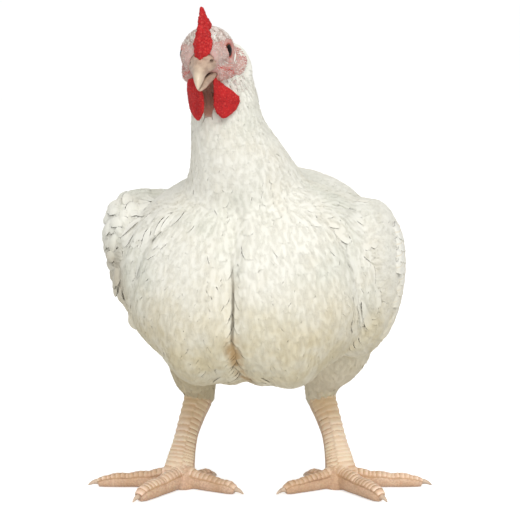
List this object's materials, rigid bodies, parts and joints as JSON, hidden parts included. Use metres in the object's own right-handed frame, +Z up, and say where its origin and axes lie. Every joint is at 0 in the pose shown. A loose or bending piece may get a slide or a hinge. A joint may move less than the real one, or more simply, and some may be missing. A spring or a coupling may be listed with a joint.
{
  "type": "broiler chicken model",
  "caption": "Life-size still model of a white broiler chicken, standing, with folded wings, single comb, wattles and scaled legs.",
  "frame": {"origin": "on the floor, under the middle of the bird's box", "axes": "+Z up, the bird faces -Y, its left side is +X"},
  "size_m": [0.2758, 0.3808, 0.3769],
  "materials": {
    "plumage": "soft white feathers, cream in the folds",
    "face_skin": "thin pink skin with fine bristles",
    "comb_skin": "red, finely grained skin",
    "beak_horn": "smooth pale horn",
    "eye": "wet, dark brown",
    "leg_scale": "pale yellow-pink scutes",
    "claw": "worn grey horn"
  },
  "bodies": {
    "root": {"head": "face_skin", "neck": "plumage", "torso": "plumage", "tail": "plumage", "wing_left": "plumage", "wing_right": "plumage", "thigh_left": "plumage", "thigh_right": "plumage", "shank_left": "leg_scale", "shank_right": "leg_scale", "foot_left": "leg_scale", "foot_right": "leg_scale", "claw_middle_left": "claw", "claw_outer_left": "claw", "claw_inner_left": "claw", "claw_hind_left": "claw", "claw_middle_right": "claw", "claw_outer_right": "claw", "claw_inner_right": "claw", "claw_hind_right": "claw", "comb": "comb_skin", "wattle_left": "comb_skin", "wattle_right": "comb_skin", "beak_upper": "beak_horn", "beak_lower": "beak_horn", "eye_left": "eye", "eye_right": "eye"}
  },
  "joints": []
}
